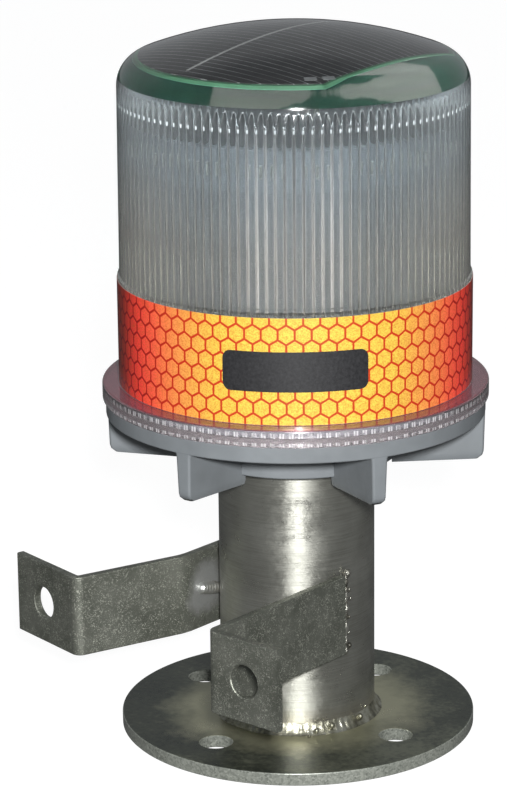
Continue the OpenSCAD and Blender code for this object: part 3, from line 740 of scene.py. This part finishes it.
def bead(start, end, r, seed, pitch=2.4, uneven=0.16, ripple=0.07, around=20):
    """A laid bead between two points: an uneven rod with ripples and round ends."""
    start, end = Vector(start), Vector(end)
    axis = (end - start).normalized()
    u = axis.orthogonal().normalized()
    v = axis.cross(u)
    length = (end - start).length
    spacing, lump, wander = 0.25, 2.2, 4
    steps = int((length + 2 * r) / spacing) + 2
    all_rings = []
    for i in range(steps + 1):
        s = -r + (length + 2 * r) * i / steps
        past_end = max(0.0, -s, s - length)
        size = math.sqrt(max(0.0, r * r - past_end * past_end))
        wave = ripple * math.sin(TAU * s / pitch)
        size *= 1 - uneven + uneven * hash_noise(s / lump, seed, 0.3) + wave
        centre = start + axis * s + u * 0.3 * uneven * r * hash_noise(s / wander, seed, 7.7)
        all_rings.append([tuple(centre + size * (math.cos(TAU * k / around) * u
                                                 + math.sin(TAU * k / around) * v))
                          for k in range(around)])
    return rings(all_rings, caps=True)


def joined(name, parts):
    """One object from several beads."""
    whole = bmesh.new()
    for part in parts:
        mesh = bpy.data.meshes.new("part")
        part.to_mesh(mesh)
        part.free()
        whole.from_mesh(mesh)
        bpy.data.meshes.remove(mesh)
    return new_object(name, whole, 60)


def drop(x, y, z, r, seed):
    """A drop of spatter."""
    return bead((x, y, z), (x + 0.4 * r, y, z + 0.5 * r), r, seed, 9, 0.1, 0.0, 14)


def strap_welds(bright, dark, foot):
    """The beads that hold the straps, the left strap's tack, and drops of spatter."""
    foot_z, head_z = STRAP_Z + 1, STRAP_TOP - 1
    right = [bead((31.2, -8.5, foot_z), (31.2, -8.5, head_z), 1.7, 1.7, 3.4, 0.42, 0.02)]
    # spatter on the bead: where each drop is, and its radius
    for x, y, z, r in ((30.4, -7.0, STRAP_TOP - 0.4, 1.5), (32.4, -8.2, STRAP_TOP - 6, 0.9),
                       (31.9, -6.7, STRAP_TOP - 10, 0.6), (32.2, -8.0, STRAP_TOP - 17, 0.7),
                       (31.6, -7.2, STRAP_Z + 8, 0.6), (30.6, -6.3, STRAP_Z + 2, 1.2)):
        right.append(drop(x, y, z, r, z))
    fit_out(joined("right_bead", right), "post", "weld_metal", dark, "right_strap_weld")
    left = [bead((-31.4, 5.9, foot_z + 0.5), (-31.4, 5.9, head_z - 0.5), 2.3, 5.1),
            bead(TACK_BACK, TACK_FRONT, 2.7, 9.4, 1.5, 0.08, 0.045)]
    fit_out(joined("left_bead", left), "post", "weld_metal", bright, "left_strap_weld")
    spatter = [drop(*at(turn, r, z), size, turn) for turn, r, z, size in
               ((52, 32.6, 6.6, 1.1), (63, 32.2, 7.6, 1.4), (88, 31.8, 8.0, 1.3), (47, 34, 5.4, 0.6),
                (97, 31.0, 11, 0.5))]
    fit_out(joined("foot_spatter", spatter), "post", "weld_metal", foot)


# ---------- lantern base ----------

def fin(turn):
    """One drafted fin, flared into the ring above it and rounded at its lower edges."""
    levels, corner = 14, 1.0
    flare_from, flare_out = 0.88, 1.3         # the heights are shares of the fin's height
    round_to, round_in = 0.09, 0.55
    toe_to, toe_in = 0.14, 2.2
    draft_side, draft_end, fall, bite = 0.6, 0.5, 2.0, 1.5
    inner = COLLAR_R - 2.5
    all_rings = []
    for i in range(levels + 1):
        t = i / levels
        flare = flare_out * max(0.0, (t - flare_from) / (1 - flare_from)) ** 2
        under = round_in * max(0.0, 1 - t / round_to) ** 2
        half = FIN_T / 2 - 0.35 + draft_side * t + flare - under
        outer = FIN_R - draft_end * (1 - t) - toe_in * max(0.0, 1 - t / toe_to) ** 2.2
        plan = [(inner, -half), (outer - corner, -half)]
        plan += [(outer - corner + corner * math.sin(math.radians(a)),
                  -half + corner - corner * math.cos(math.radians(a))) for a in (30, 60, 90)]
        plan += [(outer - corner + corner * math.cos(math.radians(a)),
                  half - corner + corner * math.sin(math.radians(a))) for a in (0, 30, 60)]
        plan += [(outer - corner, half), (inner, half)]
        ring = []
        for r, side in plan:
            foot = FIN_Z - fall * (FIN_R - r) / (FIN_R - COLLAR_R)
            ring.append((r, side, foot + (RING_Z + bite - foot) * t))
        all_rings.append(ring)
    bm = rings(all_rings, caps=True)
    bmesh.ops.rotate(bm, verts=bm.verts, matrix=Matrix.Rotation(math.radians(turn - 90), 3, "Z"))
    return new_object("fin", bm, 40)


def base_profile():
    """Half section of the lantern base: collar, deck, ring and spigot."""
    bore, edge, fillet, chamfer = POST_R + 0.05, 0.7, 1.4, 0.4
    ease, lip = 0.3, 0.5
    return ([(bore, RING_Z), (bore, COLLAR_Z + chamfer), (bore + chamfer, COLLAR_Z)]
            + arc(COLLAR_R - edge, COLLAR_Z + edge, edge, -90, 0, 4)
            + [(COLLAR_R, RING_Z - fillet)]
            + [(COLLAR_R + fillet - fillet * math.cos(math.radians(a)),
                RING_Z - fillet + fillet * math.sin(math.radians(a))) for a in (30, 60, 90)]
            + arc(RING_R - edge, RING_Z + edge, edge, -90, 0, 4)
            + [(RING_R, RING_TOP - ease), (RING_R - ease, RING_TOP), (SPIGOT_R, RING_TOP),
               (SPIGOT_R, SPIGOT_TOP - lip), (SPIGOT_R - lip, SPIGOT_TOP), (WELL_R, SPIGOT_TOP),
               (WELL_R, DECK_TOP), (0, DECK_TOP), (0, RING_Z)])


def lantern_base(material):
    body = lathe("lantern_shell", base_profile(), 192, 40)
    for k in range(FINS):
        apply_boolean(body, fin(360 / FINS * k), "UNION", 40)
    for turn in SCREW_TURNS:
        hole = hole_cutter(SCREW_HOLE_R, 14, 0, 0.3, 24)
        place = (Matrix.Rotation(math.radians(turn - 90), 4, "Z")
                 @ Matrix.Translation((POST_R - 3, 0, SCREW_Z)) @ Matrix.Rotation(math.pi / 2, 4, "Y"))
        apply_boolean(body, move(hole, place), smooth=40)
    hole = hole_cutter(SWITCH_HOLE_R, DECK_TOP - RING_Z, 0, 0.2, 32)
    place = Matrix.Translation(at(SWITCH_TURN, SWITCH_AT, RING_Z))
    apply_boolean(body, move(hole, place), smooth=40)
    move(body, Matrix.Rotation(math.radians(LANTERN_TURN), 4, "Z"))
    fit_out(body, "lantern", "base_plastic", material, "lantern_base")


# ---------- lens head ----------

def lens_outside():
    """The lens's outline from its top down to its seat, with the seal's groove underneath."""
    cap_angle = math.degrees(math.acos(SHOULDER_AT / (CAP_R - SHOULDER_R)))
    fillet, upper_r, lower_r = 0.8, 0.9, 0.6
    outer = arc(0, TOP_Z - CAP_R, CAP_R, 90, cap_angle, 12)[:-1]
    outer += arc(SHOULDER_AT, SHOULDER_Z, SHOULDER_R, cap_angle, 0, 12)
    outer += [(WALL_R - 0.1, STEP_Z + 12), (WALL_R, STEP_Z + 0.6), (FOOT_R, STEP_Z - 0.1),
              (FOOT_R, FLANGE_TOP + fillet)]
    outer += [(FOOT_R + fillet - fillet * math.sin(math.radians(a)),
               FLANGE_TOP + fillet - fillet * math.cos(math.radians(a))) for a in (60, 30, 0)]
    outer += arc(FLANGE_R - upper_r, FLANGE_TOP - upper_r, upper_r, 90, 0, 5)
    outer += arc(FLANGE_R - lower_r, SEAT_Z + lower_r, lower_r, 0, -90, 3)
    return outer + [(GROOVE_OUT_R, SEAT_Z), (GROOVE_OUT_R, SEAT_Z + GROOVE_H),
                    (GROOVE_IN_R, SEAT_Z + GROOVE_H), (GROOVE_IN_R, SEAT_Z), (THREAD_R, SEAT_Z)]


def lens_inside(x):
    """The inside of the lens, up one column; x runs from -1 to 1 across a rib."""
    half = math.pi * FLUTE_R / FLUTES
    rib_r = (half ** 2 + FLUTE_DEPTH ** 2) / (2 * FLUTE_DEPTH)
    wall = FLUTE_R + rib_r - math.sqrt(rib_r ** 2 - (half * x) ** 2)
    rows, middle_z = 9, 200
    inner = [(THREAD_R, THREAD_TOP), (FLUTE_R, THREAD_TOP + 0.8), (wall, THREAD_TOP + 3),
             (wall, middle_z), (wall, ARCH_FOOT_Z - 1)]
    for i in range(rows + 1):
        t = i / rows
        z = ARCH_FOOT_Z + (ARCH_TOP_Z - ARCH_FOOT_Z) * t
        inner.append((min(wall, FLUTE_R + FLUTE_DEPTH * (1 - t)), z))
    return inner + [(FLUTE_R - 0.6, RESIN_Z - BOND), (0, RESIN_Z - BOND)]


def lens(material):
    per_flute = 10
    columns = FLUTES * per_flute
    outside = lens_outside()
    profiles = [outside + lens_inside(-1 + 2 * k / per_flute) for k in range(per_flute)]
    bm = bmesh.new()
    verts = [[bm.verts.new(at(FRONT + 360 * j / columns, r, z))
              for r, z in profiles[j % per_flute]] for j in range(columns)]
    for j in range(columns):
        a, b = verts[j], verts[(j + 1) % columns]
        for i in range(len(a) - 1):
            bm.faces.new((a[i], b[i], b[i + 1], a[i + 1]))
    shell = new_object("lens_shell", bm, 38)
    fit_out(shell, "lens_head", "lens_clear", material, "lens", "panel_resin")


def reflective_band(material):
    soft = 0.1
    r = FOOT_R + FILM_T
    obj = lathe("band", [(FOOT_R, FILM_Z), (r - soft, FILM_Z), (r, FILM_Z + soft),
                         (r, FILM_TOP - soft), (r - soft, FILM_TOP), (FOOT_R, FILM_TOP)], 240, 60)
    fit_out(obj, "lens_head", "film", material, "reflective_band")


def blank_label(material):
    """A plain rounded rectangle of dark film, wrapped round the band."""
    r, strip = FOOT_R + FILM_T, 2
    outline = []
    for cx, cz, start in ((1, 1, 0), (-1, 1, 90), (-1, -1, 180), (1, -1, 270)):
        outline += arc(cx * (LABEL_W / 2 - LABEL_CORNER), cz * (LABEL_H / 2 - LABEL_CORNER),
                       LABEL_CORNER, start, start + 90, 6)
    bm = bmesh.new()
    bm.faces.new([bm.verts.new((u, v, 0)) for u, v in outline])
    for k in range(1, LABEL_W // strip):
        geom = bm.verts[:] + bm.edges[:] + bm.faces[:]
        bmesh.ops.bisect_plane(bm, geom=geom, plane_co=(-LABEL_W / 2 + strip * k, 0, 0),
                               plane_no=(1, 0, 0))
    bmesh.ops.solidify(bm, geom=bm.faces[:], thickness=LABEL_T)
    low = min(v.co.z for v in bm.verts)
    for v in bm.verts:
        v.co = at(FRONT + math.degrees(v.co.x / r), r + v.co.z - low, FILM_MID + v.co.y)
    fit_out(new_object("plain_label", bm, 60), "lens_head", "label", material, "blank_label")


# ---------- solar panel ----------

def panel_outline(inset):
    """Outline of a disc with one straight side, moved in by an amount."""
    steps = 160
    r, cut = PANEL_R - inset, PANEL_CUT - inset
    open_half = math.degrees(math.acos(cut / r))
    return [at(PANEL_CUT_TURN + open_half + (360 - 2 * open_half) * i / steps, r, 0)[:2]
            for i in range(steps + 1)]


def slab(name, outline, z, thickness, edge):
    """A flat plate whose upper edge is eased by edge."""
    cx = sum(p[0] for p in outline) / len(outline)
    cy = sum(p[1] for p in outline) / len(outline)
    size = max(math.hypot(x - cx, y - cy) for x, y in outline)
    k = 1 - edge / size
    small = [(cx + (x - cx) * k, cy + (y - cy) * k) for x, y in outline]
    levels = ((outline, z), (outline, z + thickness - edge), (small, z + thickness))
    return new_object(name, rings([[(x, y, h) for x, y in o] for o, h in levels], caps=True), 40)


def solar_panel(board, wafer, ribbon):
    """The board, the wafer bonded on it, and the busbar across the wafer."""
    wafer_z = PANEL_Z + PANEL_T
    board_slab = slab("panel_board", panel_outline(0), PANEL_Z, PANEL_T, 0.1)
    fit_out(board_slab, "lens_head", "circuit_board", board, "solar_board")
    wafer_slab = slab("panel_wafer", panel_outline(WAFER_EDGE), wafer_z, WAFER_T, 0.05)
    fit_out(wafer_slab, "lens_head", "wafer", wafer, "solar_cell")
    reach = PANEL_R - 6
    outline = []
    for far, side in ((-1, -1), (1, -1), (1, 1), (-1, 1)):
        across = RIBBON_AT + side * RIBBON_W / 2
        turn = PANEL_CUT_TURN + math.degrees(math.atan2(far * reach, across))
        outline.append(at(turn, math.hypot(across, reach), 0)[:2])
    busbar = slab("busbar", outline, wafer_z + WAFER_T, RIBBON_T, 0.03)
    fit_out(busbar, "lens_head", "ribbon", ribbon, "cell_ribbon")


# ---------- setting ----------

def camera():
    """The photograph's camera, fitted to the outlines of plate, ring and lens and the straps' edges."""
    lens_mm, sensor_mm, distance, height = 141.44, 36, 1155.57, 469.17
    pitch, yaw, roll = (math.radians(a) for a in (16.345, -0.8007, -0.643))
    data = bpy.data.cameras.new("camera")
    data.lens, data.sensor_fit, data.sensor_height = lens_mm, "VERTICAL", sensor_mm
    obj = bpy.data.objects.new("camera", data)
    bpy.context.collection.objects.link(obj)
    right = Vector((math.cos(yaw), -math.sin(yaw), 0))
    down = Vector((-math.sin(pitch) * math.sin(yaw), -math.sin(pitch) * math.cos(yaw),
                   -math.cos(pitch)))
    forward = Vector((math.cos(pitch) * math.sin(yaw), math.cos(pitch) * math.cos(yaw),
                      -math.sin(pitch)))
    x = right * math.cos(roll) - down * math.sin(roll)
    y = -(right * math.sin(roll) + down * math.cos(roll))
    pose = Matrix((x, y, -forward)).transposed().to_4x4()
    pose.translation = Vector((0, -distance, height)) * MM
    obj.matrix_world = Matrix.Rotation(math.radians(FRONT), 4, "Z") @ pose
    bpy.context.scene.camera = obj


def flash():
    """The camera's flash: one soft round lamp just above the camera, aimed at the lens's flange."""
    turn, elevation, distance, size, power, aim_z = FRONT + 2, 18.7, 1214, 90, 26, 140
    data = bpy.data.lights.new("flash", "AREA")
    data.shape, data.size, data.energy = "DISK", size * MM, power
    obj = bpy.data.objects.new("flash", data)
    flat = distance * math.cos(math.radians(elevation))
    spot = Vector(at(turn, flat, aim_z + distance * math.sin(math.radians(elevation)))) * MM
    obj.location = spot
    obj.rotation_euler = (Vector((0, 0, aim_z * MM)) - spot).to_track_quat("-Z", "Y").to_euler()
    bpy.context.collection.objects.link(obj)


def surroundings():
    """White to the camera; to everything else a dim room with a pale sweep behind."""
    room, sweep = (0.13, 0.14, 0.15, 1), (0.28, 0.29, 0.30, 1)
    scene = bpy.context.scene
    scene.view_settings.view_transform = "Standard"
    world = bpy.data.worlds.new("room")
    scene.world = world
    world.use_nodes = True
    tree = world.node_tree
    tree.nodes.clear()

    def node(kind, **settings):
        return add_node(tree, kind, **settings)

    place = node("TexCoord").outputs["Generated"]
    split, behind = node("SeparateXYZ"), node("VectorMath", operation="DOT_PRODUCT")
    a = math.radians(FRONT)
    behind.inputs[1].default_value = (-math.sin(a), math.cos(a), 0)
    low, far, both = node("MapRange"), node("MapRange"), node("Math", operation="MULTIPLY")
    for n, start, end in ((low, 0.66, 0.56), (far, 0.1, 0.5)):
        n.inputs["From Min"].default_value, n.inputs["From Max"].default_value = start, end
    tint, dim, white = node("Mix", data_type="RGBA"), node("Background"), node("Background")
    tint.inputs["A"].default_value, tint.inputs["B"].default_value = room, sweep
    white.inputs[0].default_value = (1, 1, 1, 1)
    path, mix, out = node("LightPath"), node("MixShader"), node("OutputWorld")
    for source, target in (
            (place, split.inputs[0]), (place, behind.inputs[0]),
            (split.outputs["Z"], low.inputs["Value"]), (behind.outputs["Value"], far.inputs["Value"]),
            (low.outputs[0], both.inputs[0]), (far.outputs[0], both.inputs[1]),
            (both.outputs[0], tint.inputs["Factor"]), (tint.outputs["Result"], dim.inputs[0]),
            (path.outputs["Is Camera Ray"], mix.inputs[0]), (dim.outputs[0], mix.inputs[1]),
            (white.outputs[0], mix.inputs[2]), (mix.outputs[0], out.inputs[0])):
        tree.links.new(source, target)


def floor():
    """A plain pale floor that stays near white and takes only a faint shadow."""
    radius, below_plate, brightness = 6000, 0.2, 0.95
    bm = bmesh.new()
    bmesh.ops.create_circle(bm, cap_ends=True, radius=radius, segments=96)
    obj = new_object("floor", bm)
    s = Shader("floor_paper")
    s.set(Base_Color=s.ramp(s.noise(3, 2), (0.3, (0.11, 0.11, 0.11)), (0.7, (0.12, 0.12, 0.12))),
          Roughness=0.9)
    path, glow = s.node("LightPath"), s.node("Emission")
    add, mix = s.node("AddShader"), s.node("MixShader")
    glow.inputs["Strength"].default_value = brightness
    s.link(s.bsdf.outputs[0], add.inputs[0])
    s.link(glow.outputs[0], add.inputs[1])
    s.link(path.outputs["Is Camera Ray"], mix.inputs[0])
    s.link(s.bsdf.outputs[0], mix.inputs[1])
    s.link(add.outputs[0], mix.inputs[2])
    s.link(mix.outputs[0], s.out.inputs["Surface"])
    obj.data.materials.append(s.material)
    obj.location.z = -below_plate * MM


def dress(material, *nodes):
    """Give CAD nodes their material."""
    for name in nodes:
        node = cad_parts[name]
        node.data.materials.clear()
        node.data.materials.append(material)


def build():
    surroundings()
    camera()
    floor()
    flash()

    base_plate(plate_steel())
    dress(brushed_tube(), "post_tube")
    straps(speckled_steel())
    foot = weld_metal("weld_foot", (0.07, 0.068, 0.05), (0.25, 0.245, 0.19), (0.50, 0.50, 0.43),
                      0.26, 0.5)
    bright = weld_metal("weld_bright", (0.26, 0.25, 0.21), (0.46, 0.46, 0.43), (0.60, 0.61, 0.60),
                        0.30, 0.2)
    dark = weld_metal("weld_dark", (0.05, 0.05, 0.04), (0.17, 0.165, 0.14), (0.42, 0.42, 0.38),
                      0.28, 1.2)
    foot_weld(foot)
    strap_welds(bright, dark, foot)

    lantern_base(moulded("base_plastic", (0.150, 0.163, 0.172)))
    dress(plain_metal("screw_steel", (0.22, 0.22, 0.23), 0.35), "set_screws")
    dress(plain_metal("bright_steel", (0.55, 0.55, 0.56)), "switch_nut", "drum_screws",
          "battery_bolt", "board_screws")
    dress(moulded("switch_plastic", (0.02, 0.02, 0.022), 0.4), "switch_body")
    dress(moulded("button_rubber", (0.35, 0.03, 0.025), 0.5), "switch_button")
    dress(moulded("drum_plastic", (0.024, 0.030, 0.034), 0.9, 0.05), "inner_drum")
    dress(moulded("tray_plastic", (0.10, 0.10, 0.11), 0.5), "battery_tray", "battery_cap")
    dress(moulded("cell_wrap", (0.05, 0.26, 0.13), 0.35), "battery_cells")
    dress(plain_metal("brass", (0.70, 0.52, 0.22)), "battery_contacts", "board_standoffs")
    dress(plain_metal("nickel", (0.30, 0.30, 0.29), 0.35), "contact_pins", "contact_rings",
          "contact_rods")
    dress(circuit_board("board_green", (0.02, 0.16, 0.07)), "control_board")
    dress(moulded("component_black", (0.025, 0.025, 0.027), 0.4), "control_parts", "pin_block")
    dress(moulded("led_strip_grey", (0.030, 0.037, 0.042), 0.8), "led_board")
    dress(moulded("led_clear", (0.06, 0.065, 0.06), 0.3), "leds")
    dress(moulded("solder", (0.16, 0.165, 0.165), 0.4), "solder_tabs")
    dress(moulded("seal_rubber", (0.10, 0.10, 0.10), 0.6), "lens_seal")
    solar_panel(panel_back((0.040, 0.115, 0.062)), wafer_face(),
                moulded("ribbon_tin", (0.27, 0.27, 0.26), 0.5))

    lens(lens_clear())
    reflective_band(honeycomb_film())
    blank_label(black_film())


build()
